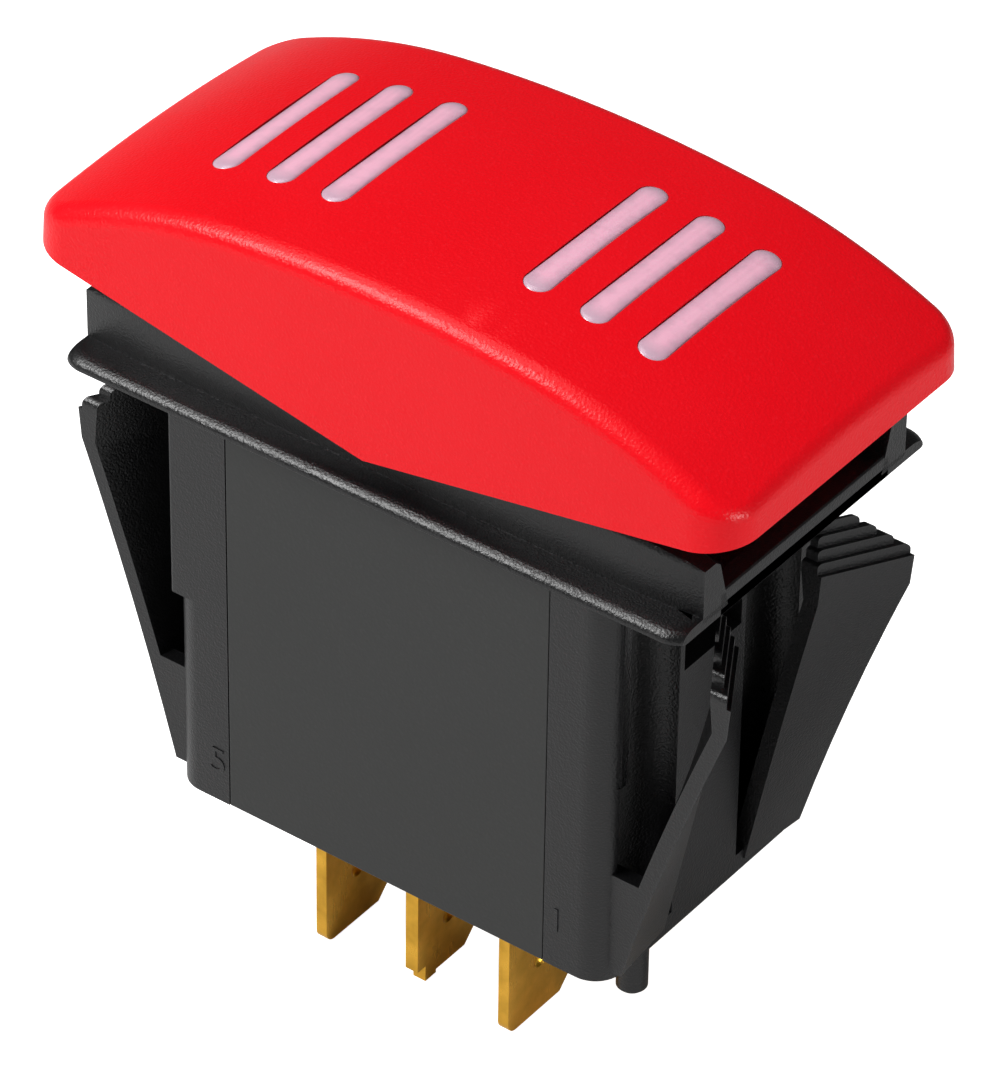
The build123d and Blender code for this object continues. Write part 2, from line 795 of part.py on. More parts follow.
os.makedirs("parts", exist_ok=True)
for part_name, part_shape in all_parts().items():
    export_step(as_solid(part_shape), "parts/" + part_name + ".step")
    print(part_name, len(part_shape.solids()), round(part_shape.volume, 2))
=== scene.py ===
# %% [markdown]
# A panel rocker switch is a small moulded thing: a red cap that the finger presses, a black frame
# that snaps into a panel, a charcoal housing and brass blades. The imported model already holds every
# piece in its place. Here each piece gets the soft edges, grain and colour of the real one.
# Lengths are in metres, so one millimetre has a name of its own. Lists of places and steps are in
# millimetres, and are multiplied by it where they are used.

# %% Load the frame
import json
import math

import bmesh
import bpy
from mathutils import Matrix, Vector
from mathutils.bvhtree import BVHTree


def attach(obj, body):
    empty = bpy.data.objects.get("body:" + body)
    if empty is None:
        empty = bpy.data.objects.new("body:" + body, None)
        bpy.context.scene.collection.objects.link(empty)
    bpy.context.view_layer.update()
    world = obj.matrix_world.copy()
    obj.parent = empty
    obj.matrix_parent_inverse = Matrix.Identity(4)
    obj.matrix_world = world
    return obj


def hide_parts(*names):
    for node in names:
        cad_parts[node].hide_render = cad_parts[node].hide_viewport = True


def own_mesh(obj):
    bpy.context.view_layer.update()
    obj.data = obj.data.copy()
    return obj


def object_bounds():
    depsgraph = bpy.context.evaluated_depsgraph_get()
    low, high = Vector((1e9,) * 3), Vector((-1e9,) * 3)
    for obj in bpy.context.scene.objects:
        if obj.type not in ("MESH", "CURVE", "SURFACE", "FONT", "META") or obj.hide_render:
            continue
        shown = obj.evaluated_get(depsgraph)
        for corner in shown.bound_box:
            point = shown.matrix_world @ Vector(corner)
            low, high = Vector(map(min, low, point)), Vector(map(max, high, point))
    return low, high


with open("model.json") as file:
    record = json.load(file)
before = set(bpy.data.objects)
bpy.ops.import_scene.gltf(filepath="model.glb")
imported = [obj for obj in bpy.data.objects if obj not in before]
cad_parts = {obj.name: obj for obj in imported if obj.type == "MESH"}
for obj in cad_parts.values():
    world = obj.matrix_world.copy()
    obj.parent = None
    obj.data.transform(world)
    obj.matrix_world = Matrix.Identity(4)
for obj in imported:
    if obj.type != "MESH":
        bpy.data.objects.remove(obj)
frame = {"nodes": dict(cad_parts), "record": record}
cad_low, cad_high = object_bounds()
nodes = frame["nodes"]
MM = 0.001
body_of_node = {node: body for body, members in frame["record"]["behaviour"]["bodies"].items()
                for node in members}
slot_of_node = {row["node"]: row["material_slot"] for row in frame["record"]["subparts"]}
print("nodes", len(nodes), "size in mm", [round(v / MM, 1) for v in cad_high - cad_low])

# %% [markdown]
# The camera and the lamps both stand at two angles from the switch and look back at it. Objects,
# meshes and materials are made the same way each time, so these steps have functions too.

# %% Small helpers
def direction(azimuth, elevation):
    """Unit vector towards the given angles in radians; azimuth 0 is straight in front."""
    return Vector((math.sin(azimuth) * math.cos(elevation),
                   -math.cos(azimuth) * math.cos(elevation), math.sin(elevation)))


def looking_back(away):
    """Rotation of a camera or lamp that stands in a direction and looks back."""
    return (-away).to_track_quat("-Z", "Y").to_matrix().to_4x4()


def new_object(name, data):
    """Object in the scene."""
    made = bpy.data.objects.new(name, data)
    bpy.context.scene.collection.objects.link(made)
    return made


def new_mesh(name, bm):
    """Mesh with the faces of a bmesh, which is used up."""
    mesh = bpy.data.meshes.new(name)
    bm.to_mesh(mesh)
    bm.free()
    return mesh


def new_material(name):
    """Node material, with its tree and its Principled shader."""
    material = bpy.data.materials.new(name)
    material.use_nodes = True
    return material, material.node_tree, material.node_tree.nodes["Principled BSDF"]


print("front is", [round(v) for v in direction(0, 0)])

# %% [markdown]
# The camera looks down on one corner of the switch from in front, as a product photographer would,
# with a long lens so that the upright edges stay nearly parallel. It is turned by its azimuth and
# elevation round an aim point inside the switch, which keeps the two angles easy to read.

# %% Camera
AZIMUTH = 0.6338
ELEVATION = 0.64888
ROLL = 0.01536
CAMERA_DISTANCE = 405.8186 * MM
LENS = 229.7
AIM = Vector((3.395, -3.614, -6.491)) * MM
NEAREST_SEEN = 0.01

towards_camera = direction(AZIMUTH, ELEVATION)
camera_data = bpy.data.cameras.new("camera")
camera_data.lens = LENS
camera_data.clip_start = NEAREST_SEEN
camera = new_object("camera", camera_data)
turn = looking_back(towards_camera) @ Matrix.Rotation(ROLL, 4, "Z")
camera.matrix_world = Matrix.Translation(AIM + towards_camera * CAMERA_DISTANCE) @ turn
bpy.context.scene.camera = camera
bpy.context.scene.view_settings.view_transform = "Standard"
print("camera at", [round(v / MM) for v in camera.matrix_world.translation], "mm")

# %% [markdown]
# The floor is a pale sheet under the tips of the blades. A dark glossy moulding gets most of its
# grey from what it mirrors: upright walls show the lit floor, while faces that look up show the
# dim room and stay black. So the room is dim here and the floor pale. To the camera both glow
# white, like a lit table. The light path node tells one kind of ray from another, and mirror rays
# find some of that white as well.

# %% Floor and world
FLOOR_SIZE = 1.6
FLOOR_GAP = 0.2 * MM
FLOOR_HEIGHT = cad_low.z - FLOOR_GAP
FLOOR_SHADE = (0.74, 0.74, 0.74, 1.0)
FLOOR_ROUGHNESS = 0.9
WHITE = (1, 1, 1, 1)
WORLD_LIGHT = 0.05
MIRRORED_WHITE = 0.04


def seen_white(tree, strength_otherwise):
    """Number that is 1 for what the camera or glass sees, and less for mirrors and plain light."""
    path = tree.nodes.new("ShaderNodeLightPath")
    seen = tree.nodes.new("ShaderNodeMath")
    seen.operation = "MAXIMUM"
    tree.links.new(path.outputs["Is Camera Ray"], seen.inputs[0])
    tree.links.new(path.outputs["Is Transmission Ray"], seen.inputs[1])
    mirrored = tree.nodes.new("ShaderNodeMath")
    mirrored.operation = "MULTIPLY_ADD"
    mirrored.inputs[1].default_value = MIRRORED_WHITE
    tree.links.new(path.outputs["Is Glossy Ray"], mirrored.inputs[0])
    tree.links.new(seen.outputs[0], mirrored.inputs[2])
    amount = tree.nodes.new("ShaderNodeMapRange")
    amount.inputs["To Min"].default_value = strength_otherwise
    tree.links.new(mirrored.outputs[0], amount.inputs["Value"])
    return amount.outputs["Result"]


bm = bmesh.new()
bmesh.ops.create_grid(bm, x_segments=1, y_segments=1, size=FLOOR_SIZE / 2)
bmesh.ops.translate(bm, verts=bm.verts, vec=(0, 0, FLOOR_HEIGHT))
floor_mesh = new_mesh("floor", bm)
floor = new_object("floor", floor_mesh)

floor_look, tree, shader = new_material("pale_floor")
shader.inputs["Base Color"].default_value = FLOOR_SHADE
shader.inputs["Roughness"].default_value = FLOOR_ROUGHNESS
shader.inputs["Specular IOR Level"].default_value = 0.0
shader.inputs["Emission Color"].default_value = WHITE
tree.links.new(seen_white(tree, 0.0), shader.inputs["Emission Strength"])
floor_mesh.materials.append(floor_look)

world = bpy.data.worlds.new("studio")
bpy.context.scene.world = world
world.use_nodes = True
tree = world.node_tree
tree.links.new(seen_white(tree, WORLD_LIGHT), tree.nodes["Background"].inputs["Strength"])
tree.nodes["Background"].inputs["Color"].default_value = WHITE
print("floor at", round(FLOOR_HEIGHT / MM, 2), "mm")

# %% [markdown]
# One soft lamp stands to the left in front of the switch and draws the long highlight on the cap's
# near ridge. A second, weaker and lower one from the right shows the wings and the end wall, and
# leaves the scoops behind the near wing in the dark. A third hangs overhead and lights the cap's
# top from the left. Lamps of some size close by give soft shadows, as a studio's soft boxes do.

# %% Lamps
LAMP_DISTANCE = 0.5
# name, azimuth and elevation in degrees, size in metres, power in watts
LAMPS = (("key_lamp", -39, 41, 0.2, 2.6), ("side_lamp", 88, 9, 0.12, 1.3),
         ("top_lamp", -75, 66, 0.3, 0.85))

for name, azimuth, elevation, size, power in LAMPS:
    lamp = bpy.data.lights.new(name, "AREA")
    lamp.shape = "SQUARE"
    lamp.size = size
    lamp.energy = power
    away = direction(math.radians(azimuth), math.radians(elevation))
    stand = new_object(name, lamp)
    stand.matrix_world = Matrix.Translation(away * LAMP_DISTANCE) @ looking_back(away)

# %% [markdown]
# Most shader nodes are a noise, a band of values moved to another band, or a sum. Each has a small
# function, and one more either links an input or sets it, so that a number can stand for a node.

# %% Node helpers
def feed(tree, item, socket):
    """Links another node's output to an input, or sets the input to a number or colour."""
    if isinstance(item, bpy.types.NodeSocket):
        tree.links.new(item, socket)
    else:
        socket.default_value = item


def noise(tree, coordinates, scale, detail):
    """Noise texture on the given coordinates."""
    texture = tree.nodes.new("ShaderNodeTexNoise")
    texture.inputs["Detail"].default_value = detail
    tree.links.new(coordinates, texture.inputs["Vector"])
    feed(tree, scale, texture.inputs["Scale"])
    return texture.outputs["Fac"]


def stretch(tree, value, low, high, to_low=0.0, to_high=1.0):
    """Map Range node: moves a band of values to another band."""
    spread = tree.nodes.new("ShaderNodeMapRange")
    for title, number in (("From Min", low), ("From Max", high), ("To Min", to_low),
                          ("To Max", to_high)):
        spread.inputs[title].default_value = number
    tree.links.new(value, spread.inputs["Value"])
    return spread.outputs["Result"]


def combine(tree, operation, first, second):
    """Math node on two sockets, or on a socket and a number."""
    step = tree.nodes.new("ShaderNodeMath")
    step.operation = operation
    feed(tree, first, step.inputs[0])
    feed(tree, second, step.inputs[1])
    return step.outputs[0]


def mix_colour(tree, mask, first, second):
    """Mix of two colours by a mask; either can be a socket."""
    mix = tree.nodes.new("ShaderNodeMix")
    mix.data_type = "RGBA"
    tree.links.new(mask, mix.inputs["Factor"])
    for title, item in (("A", first), ("B", second)):
        socket = next(s for s in mix.inputs if s.name == title and s.type == "RGBA")
        feed(tree, (*item, 1.0) if isinstance(item, tuple) else item, socket)
    return next(s for s in mix.outputs if s.type == "RGBA")


def add_bump(tree, height, strength, distance):
    """Bump node between a height and the Principled shader."""
    bump = tree.nodes.new("ShaderNodeBump")
    bump.inputs["Strength"].default_value = strength
    bump.inputs["Distance"].default_value = distance
    tree.links.new(height, bump.inputs["Height"])
    tree.links.new(bump.outputs["Normal"], tree.nodes["Principled BSDF"].inputs["Normal"])


def new_group(name, numbers, outputs):
    """Empty shader group with number inputs and named outputs."""
    group = bpy.data.node_groups.new(name, "ShaderNodeTree")
    for title, value in numbers.items():
        socket = group.interface.new_socket(title, in_out="INPUT", socket_type="NodeSocketFloat")
        socket.default_value = value
    for title in outputs:
        group.interface.new_socket(title, in_out="OUTPUT", socket_type="NodeSocketFloat")
    return group, group.nodes.new("NodeGroupInput"), group.nodes.new("NodeGroupOutput")


print("node helpers ready")

# %% [markdown]
# Moulded plastic takes the skin of its steel mould, and a mould eroded by sparks gives a fine even
# grain. Every plastic here has it, finer or coarser, so the grain is one node group. It puts out a
# height for the Bump node, flecks where the grain is highest, and a cloudy mask, which changes
# colour and roughness a little.

# %% Grain group
GRAIN_DETAIL = 2.0
CELL_SHARE = 0.5
FLECK_BAND = (0.56, 0.72)
CLOUDS_PER_METRE = 90
CLOUD_DETAIL = 3.0

grain_group, group_in, group_out = new_group("mould_grain", {"Cells per metre": 6000.0},
                                             ("Height", "Flecks", "Clouds"))
place = grain_group.nodes.new("ShaderNodeTexCoord").outputs["Object"]
fine = noise(grain_group, place, group_in.outputs["Cells per metre"], GRAIN_DETAIL)
cell = grain_group.nodes.new("ShaderNodeTexVoronoi")
grain_group.links.new(place, cell.inputs["Vector"])
grain_group.links.new(group_in.outputs["Cells per metre"], cell.inputs["Scale"])
coarse = combine(grain_group, "MULTIPLY", cell.outputs["Distance"], CELL_SHARE)
height = combine(grain_group, "ADD", fine, coarse)
grain_group.links.new(height, group_out.inputs["Height"])
grain_group.links.new(stretch(grain_group, fine, *FLECK_BAND), group_out.inputs["Flecks"])
clouds = noise(grain_group, place, CLOUDS_PER_METRE, CLOUD_DETAIL)
grain_group.links.new(clouds, group_out.inputs["Clouds"])
print("group", grain_group.name, len(grain_group.nodes), "nodes")

# %% [markdown]
# Rounded edges of a moulding catch the light. Here they get a painted highlight, a paler colour, and
# are made a little smoother. The Bevel node gives the normal that a rounded edge would have, and where
# that differs from the true normal there is an edge. A little noise breaks the mask up.

# %% Edge group
EDGE_GAIN = 4.0
EDGE_SAMPLES = 6
EDGE_RADIUS = 0.25 * MM
PATCHES_PER_METRE = 1400
PATCH_DETAIL = 3.0
PATCH_BAND = (0.35, 0.65)
LEAST_EDGE_SHARE = 0.35

# The Edge mask paints a highlight on the edges and makes them a little less rough.
edge_group, group_in, group_out = new_group("edge_polish_and_highlight", {"Gain": EDGE_GAIN}, ("Edge",))
rounded = edge_group.nodes.new("ShaderNodeBevel")
rounded.samples = EDGE_SAMPLES
rounded.inputs["Radius"].default_value = EDGE_RADIUS
true_normal = edge_group.nodes.new("ShaderNodeNewGeometry")
likeness = edge_group.nodes.new("ShaderNodeVectorMath")
likeness.operation = "DOT_PRODUCT"
edge_group.links.new(rounded.outputs["Normal"], likeness.inputs[0])
edge_group.links.new(true_normal.outputs["Normal"], likeness.inputs[1])
difference = combine(edge_group, "SUBTRACT", 1.0, likeness.outputs["Value"])
place = edge_group.nodes.new("ShaderNodeTexCoord").outputs["Object"]
patches = noise(edge_group, place, PATCHES_PER_METRE, PATCH_DETAIL)
patchy = stretch(edge_group, patches, *PATCH_BAND, LEAST_EDGE_SHARE, 1.0)
scaled = combine(edge_group, "MULTIPLY", difference, group_in.outputs["Gain"])
edge = combine(edge_group, "MULTIPLY", scaled, patchy)
clamped = combine(edge_group, "MINIMUM", edge, 1.0)
edge_group.links.new(clamped, group_out.inputs["Edge"])
print("group", edge_group.name, len(edge_group.nodes), "nodes")

# %% [markdown]
# A plastic material is a Principled shader with both groups round it. The colour is a mix of three
# shades: the plain one, a paler one on the highest grains, and a paler painted highlight on the edges.
# Roughness follows the same masks, and the grain's height goes through one Bump node.

# %% Plastics
FLECK_SHARE = 0.5
CLOUD_BAND = (0.35, 0.65)
CLOUD_SHARE = 0.12
ROUGHNESS_BAND = (0.3, 0.7)
LESS_ROUGH = 0.02
MORE_ROUGH = 0.05
EDGE_POLISH = 0.08


def moulded_plastic(name, plain, fleck, edge_highlight_colour, cells, depth, rough, specular=0.5):
    """Moulded plastic with spark-eroded grain, and smoother edges with a painted highlight."""
    material, tree, shader = new_material(name)
    shader.inputs["Specular IOR Level"].default_value = specular
    grain = tree.nodes.new("ShaderNodeGroup")
    grain.node_tree = grain_group
    grain.inputs["Cells per metre"].default_value = cells
    edge = tree.nodes.new("ShaderNodeGroup")
    edge.node_tree = edge_group
    edge.inputs["Gain"].default_value = EDGE_GAIN
    flecks = combine(tree, "MULTIPLY", grain.outputs["Flecks"], FLECK_SHARE)
    colour = mix_colour(tree, flecks, plain, fleck)
    clouds = stretch(tree, grain.outputs["Clouds"], *CLOUD_BAND, 0.0, CLOUD_SHARE)
    colour = mix_colour(tree, clouds, colour, fleck)
    # Paler colour on the edges: a painted highlight.
    colour = mix_colour(tree, edge.outputs["Edge"], colour, edge_highlight_colour)
    tree.links.new(colour, shader.inputs["Base Color"])
    roughness = stretch(tree, grain.outputs["Clouds"], *ROUGHNESS_BAND, rough - LESS_ROUGH,
                        rough + MORE_ROUGH)
    polish = combine(tree, "MULTIPLY", edge.outputs["Edge"], EDGE_POLISH)
    tree.links.new(combine(tree, "SUBTRACT", roughness, polish), shader.inputs["Roughness"])
    add_bump(tree, grain.outputs["Height"], 1.0, depth)
    return material


red_plastic = moulded_plastic(
    "red_plastic", plain=(0.80, 0.003, 0.009), fleck=(0.86, 0.010, 0.020),
    edge_highlight_colour=(0.84, 0.008, 0.016), cells=5200, depth=0.026 * MM, rough=0.3, specular=0.2)
black_plastic = moulded_plastic(
    "black_plastic", plain=(0.0025, 0.0025, 0.0028), fleck=(0.007, 0.007, 0.008),
    edge_highlight_colour=(0.012, 0.012, 0.013), cells=6500, depth=0.028 * MM, rough=0.34)
charcoal_plastic = moulded_plastic(
    "charcoal_plastic", plain=(0.010, 0.011, 0.010), fleck=(0.018, 0.019, 0.018),
    edge_highlight_colour=(0.03, 0.031, 0.03), cells=4200, depth=0.008 * MM, rough=0.42)
slider_plastic = moulded_plastic(
    "slider_plastic", plain=(0.72, 0.70, 0.63), fleck=(0.8, 0.78, 0.72),
    edge_highlight_colour=(0.8, 0.78, 0.72), cells=5200, depth=0.004 * MM, rough=0.3)
print("plastics made")

# %% [markdown]
# Stamped metal shows the rolling direction as faint lines, and tarnishes in soft patches. The brass
# of the blades is a full metal whose colour and roughness both wander, with lines along the blade.

# %% Metals
ROLLED_LINES = (9000, 9000, 700)
ROLLED_DETAIL = 2.0
DULL_PER_METRE = 420
DULL_DETAIL = 4.0
DULL_BAND = (0.4, 0.68)
ROUGH_FROM_LINES = 0.16
ROUGH_FROM_DULL = 0.12
LINE_STRENGTH = 0.5
LINE_DEPTH = 0.004 * MM


def stamped_metal(name, bright, dull, rough):
    """Rolled and stamped metal with faint lines and dull patches."""
    material, tree, shader = new_material(name)
    place = tree.nodes.new("ShaderNodeTexCoord").outputs["Object"]
    mapping = tree.nodes.new("ShaderNodeMapping")
    mapping.inputs["Scale"].default_value = ROLLED_LINES
    tree.links.new(place, mapping.inputs["Vector"])
    rolling = noise(tree, mapping.outputs["Vector"], 1.0, ROLLED_DETAIL)
    patches = stretch(tree, noise(tree, place, DULL_PER_METRE, DULL_DETAIL), *DULL_BAND)
    tree.links.new(mix_colour(tree, patches, bright, dull), shader.inputs["Base Color"])
    shader.inputs["Metallic"].default_value = 1.0
    lined = combine(tree, "MULTIPLY", rolling, ROUGH_FROM_LINES)
    dulled = combine(tree, "MULTIPLY", patches, ROUGH_FROM_DULL)
    total = combine(tree, "ADD", combine(tree, "ADD", lined, dulled), rough)
    tree.links.new(total, shader.inputs["Roughness"])
    add_bump(tree, rolling, LINE_STRENGTH, LINE_DEPTH)
    return material


brass = stamped_metal("blade_brass", (0.88, 0.48, 0.055), (0.60, 0.32, 0.03), 0.2)
copper = stamped_metal("strip_copper", (0.83, 0.42, 0.24), (0.55, 0.25, 0.14), 0.22)
silver = stamped_metal("contact_silver", (0.86, 0.85, 0.82), (0.55, 0.54, 0.52), 0.2)
spring_wire = stamped_metal("spring_wire", (0.62, 0.62, 0.63), (0.45, 0.45, 0.46), 0.25)
print("metals made")

# %% [markdown]
# The bars in the cap are the tops of two clear inserts. Unlit, they look milky, and pink along the
# middle, where the red cap shows through from below. Their rim and round ends are painted greyer, as
# painted shade and reflection at the dome's edge. The mesh tells the material how far a point is from
# the rim, through an attribute named core.

# %% Milky plastics
BAR_END = 6.3 * MM
BAR_PALE_START = 4.9 * MM
SPECKLES_PER_METRE = 1500
SPECKLE_DETAIL = 2.0
SPECKLE_BAND = (0.3, 0.7)
SPECKLE = 0.12
CORE_BAND = (0.3, 1.0)
MILKINESS = 0.2
MILK_DEPTH = 0.5 * MM
MILK_COLOURS = (0.6, 0.4, 0.5)
SHINE = 0.35
SHINE_ROUGHNESS = 0.12


def milky_plastic(name, painted_rim, core, end, rough):
    """Clear moulding that looks milky, with a core of another tint, and a rim and ends painted greyer
    as shade and reflection.
    """
    material, tree, shader = new_material(name)
    place = tree.nodes.new("ShaderNodeTexCoord").outputs["Object"]
    depth = tree.nodes.new("ShaderNodeAttribute")
    depth.attribute_name = "core"
    speckle = stretch(tree, noise(tree, place, SPECKLES_PER_METRE, SPECKLE_DETAIL), *SPECKLE_BAND,
                      -SPECKLE, SPECKLE)
    mask = combine(tree, "ADD", stretch(tree, depth.outputs["Fac"], *CORE_BAND), speckle)
    # The greyer rim is painted shade and reflection.
    tint = mix_colour(tree, mask, painted_rim, core)
    parts = tree.nodes.new("ShaderNodeSeparateXYZ")
    tree.links.new(place, parts.inputs[0])
    along = combine(tree, "ABSOLUTE", parts.outputs["Y"], 0.0)
    # The round ends are painted greyer as well, as painted shade and reflection.
    tint = mix_colour(tree, stretch(tree, along, BAR_PALE_START, BAR_END), tint, end)
    tree.links.new(tint, shader.inputs["Base Color"])
    shader.inputs["Roughness"].default_value = rough
    shader.inputs["Subsurface Weight"].default_value = MILKINESS
    shader.inputs["Subsurface Radius"].default_value = MILK_COLOURS
    shader.inputs["Subsurface Scale"].default_value = MILK_DEPTH
    shader.inputs["Coat Weight"].default_value = SHINE
    shader.inputs["Coat Roughness"].default_value = SHINE_ROUGHNESS
    return material


lens_plastic = milky_plastic("lens_plastic", painted_rim=(0.43, 0.27, 0.35), core=(0.88, 0.47, 0.60),
                             end=(0.56, 0.38, 0.47), rough=0.3)
lamp_plastic = milky_plastic("lamp_plastic", painted_rim=(0.78, 0.74, 0.68), core=(0.88, 0.86, 0.82),
                             end=(0.82, 0.79, 0.74), rough=0.12)
print("milky plastics made")

# %% [markdown]
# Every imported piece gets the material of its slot. Some are replaced by better copies below, and
# the rest, such as the cap and what is inside the housing, are shown as they are.

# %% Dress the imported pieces
def dress(piece, material):
    """Gives a mesh one material."""
    piece.data.materials.clear()
    piece.data.materials.append(material)


finishes = {
    "black_bracket": black_plastic, "charcoal_base": charcoal_plastic, "red_cap": red_plastic,
    "lens": lens_plastic, "black_inner": black_plastic, "lamp_clear": lamp_plastic,
    "white_slider": slider_plastic, "spring_steel": spring_wire, "copper_alloy": copper,
    "tab_brass": brass, "contact_silver": silver,
}
for node, packed in nodes.items():
    dress(packed, finishes[slot_of_node[node]])
print("materials dressed", len(finishes))

# %% [markdown]
# Real edges are never knife sharp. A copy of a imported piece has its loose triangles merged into
# whole faces, and then a Bevel modifier rounds every sharp edge by a tenth of a millimetre or so.
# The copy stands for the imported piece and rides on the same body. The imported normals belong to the
# old triangles and would smear the light, so the copy is shaded afresh.

# %% Softened pieces
FLAT_ANGLE = math.radians(0.5)
SHARP_ANGLE = math.radians(28)
MERGE = 0.002 * MM
TINY = 0.02 * MM


def smooth_mesh(name, bm):
    """Mesh that is shaded smooth between its sharp edges."""
    mesh = new_mesh(name, bm)
    for spare in [layer for layer in mesh.attributes if layer.name == "custom_normal"]:
        mesh.attributes.remove(spare)
    for face in mesh.polygons:
        face.use_smooth = True
    mesh.set_sharp_from_angle(angle=SHARP_ANGLE)
    return mesh


def add_piece(name, mesh, material, node):
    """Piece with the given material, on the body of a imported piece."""
    piece = new_object(name, mesh)
    dress(piece, material)
    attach(piece, body_of_node[node])
    return piece


def merge_flat(bm):
    """Merges triangles that lie in one plane."""
    bmesh.ops.dissolve_limit(bm, angle_limit=FLAT_ANGLE, verts=bm.verts, edges=bm.edges)


def softened(node, material, width, segments=2, shaping=merge_flat):
    """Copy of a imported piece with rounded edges, or one shaped in another way."""
    bm = bmesh.new()
    bm.from_mesh(nodes[node].data)
    bmesh.ops.remove_doubles(bm, verts=bm.verts, dist=MERGE)
    if shaping:
        shaping(bm)
    name = node + "_soft"
    piece = add_piece(name, smooth_mesh(name, bm), material, node)
    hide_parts(node)
    if width:
        round_off = piece.modifiers.new("edges", "BEVEL")
        round_off.width = width
        round_off.segments = segments
        round_off.limit_method = "ANGLE"
        round_off.angle_limit = SHARP_ANGLE
        round_off.harden_normals = True
    return piece


print("sharp edges turn by more than", round(math.degrees(SHARP_ANGLE)), "degrees")

# %% [markdown]
# The bracket's flange is a slim lip that droops a little, so that it presses on the panel. Its top
# is rounded like a flat egg, which draws one thin line of light. Closed rings do this best: a small
# circle, its four quarters pulled apart, is a rectangle with round corners, and one ring bridged
# to the next makes the lip's skin all the way round. The short ends are then cut off straight.

# %% The bracket's lip
LIP_END = 22.65 * MM
LIP_REACH = 23.3 * MM
LIP_SIDE = 12.65 * MM
LIP_CORNER = 2.0 * MM
WINDOW_END = 11.0 * MM
WINDOW_SIDE = 7.75 * MM
RING_POINTS = 48
# the lip's section, in millimetres
LIP_FOOT = -0.35
LIP_BREAK = 0.1
LIP_SHOULDER = -0.15
NOSE_BREADTH = 1.1
NOSE_HEIGHT = 0.65
NOSE_STEPS = 8


def edges_within(verts):
    """The edges whose two ends are both in a list, once each and in the same order every time."""
    return list(dict.fromkeys(edge for vert in verts for edge in vert.link_edges
                              if edge.other_vert(vert) in verts))


def add_ring(bm, half_length, half_width, corner, height, last=None):
    """Rectangle with round corners, joined to the ring before it."""
    ring = bmesh.ops.create_circle(bm, segments=RING_POINTS, radius=corner)["verts"]
    bmesh.ops.rotate(bm, verts=ring, cent=(0, 0, 0),
                     matrix=Matrix.Rotation(math.pi / RING_POINTS, 3, "Z"))
    for vert in ring:
        vert.co.x += math.copysign(half_length - corner, vert.co.x)
        vert.co.y += math.copysign(half_width - corner, vert.co.y)
        vert.co.z = height
    edges = edges_within(ring)
    if last:
        bmesh.ops.bridge_loops(bm, edges=last + edges)
    return edges


def cut_off(bm, place, direction):
    """Cuts away what lies beyond a plane and closes the cut."""
    everything = list(bm.verts) + list(bm.edges) + list(bm.faces)
    cut = bmesh.ops.bisect_plane(bm, geom=everything, plane_co=place, plane_no=direction,
                                 dist=MERGE / 10, clear_outer=True)["geom_cut"]
    bmesh.ops.holes_fill(bm, edges=[item for item in cut if isinstance(item, bmesh.types.BMEdge)])


def add_lip(bm):
    """The lip all round, with its window."""
    steps = [(LIP_BREAK, LIP_FOOT), (0.0, LIP_FOOT + LIP_BREAK)]
    for step in range(NOSE_STEPS + 1):
        turn = math.pi / 2 * step / NOSE_STEPS
        steps.append((NOSE_BREADTH * (1 - math.cos(turn)),
                      LIP_SHOULDER + NOSE_HEIGHT * math.sin(turn)))
    first = add_ring(bm, WINDOW_END, WINDOW_SIDE, LIP_BREAK * MM, LIP_SHOULDER * MM)
    last = first
    for inset, height in steps:
        last = add_ring(bm, LIP_REACH - inset * MM, LIP_SIDE - inset * MM,
                        LIP_CORNER - inset * MM, height * MM, last)
    last = add_ring(bm, WINDOW_END, WINDOW_SIDE, LIP_BREAK * MM,
                    (LIP_SHOULDER + NOSE_HEIGHT) * MM, last)
    bmesh.ops.bridge_loops(bm, edges=last + first)
    for side in (-1, 1):
        cut_off(bm, (side * LIP_END, 0, 0), (side, 0, 0))


print("lip thickness in mm", round(LIP_SHOULDER + NOSE_HEIGHT - LIP_FOOT, 2))

# %% [markdown]
# A rail runs along each long side of the lip, and hides the gap under the cap. Its section is one
# face, drawn with a few points and pushed along the rail in steps, and the face left behind at each
# step is deleted, so that the rail is hollow. The steps are closer near the ends, where the rail
# dips and grows slimmer.

# %% The bracket's rails
# places across and up, and then along the rail, in millimetres
RAIL_SECTION = ((7.75, 0.1), (8.65, 4.25), (9.1, 4.7), (10.5, 4.7), (10.72, 4.64), (10.88, 4.48),
                (10.95, 4.25), (10.5, 0.1))
RAIL_STATIONS = (17.0, 18.0, 19.0, 19.8, 20.6, 21.3, 21.9, 22.35, 22.65)
DIP_START = 17.0 * MM
DIP = 0.9 * MM
SLIM_START = 16.0 * MM
SLIM_SIDE = 10.2 * MM
RAIL_TOP = 4.7 * MM


def add_rail(bm, side):
    """One rail on the lip."""
    section = [bm.verts.new((-RAIL_STATIONS[-1] * MM, side * y * MM, z * MM))
               for y, z in RAIL_SECTION]
    face = bm.faces.new(section)
    places = [-x for x in reversed(RAIL_STATIONS)] + list(RAIL_STATIONS)
    rail = set(section)
    for before, after in zip(places, places[1:]):
        grown = bmesh.ops.extrude_face_region(bm, geom=[face])["geom"]
        if before > places[0]:
            bmesh.ops.delete(bm, geom=[face], context="FACES_ONLY")
        face = next(item for item in grown if isinstance(item, bmesh.types.BMFace))
        bmesh.ops.translate(bm, verts=face.verts, vec=((after - before) * MM, 0, 0))
        rail.update(face.verts)
    for vert in rail:
        along = abs(vert.co.x)
        dip = max(0.0, (along - DIP_START) / (LIP_END - DIP_START)) ** 2
        slim = max(0.0, (along - SLIM_START) / (LIP_END - SLIM_START)) ** 2
        vert.co.z -= DIP * dip * max(0.0, vert.co.z) / RAIL_TOP
        out = abs(vert.co.y) - SLIM_SIDE
        if out > 0:
            vert.co.y -= side * out * slim


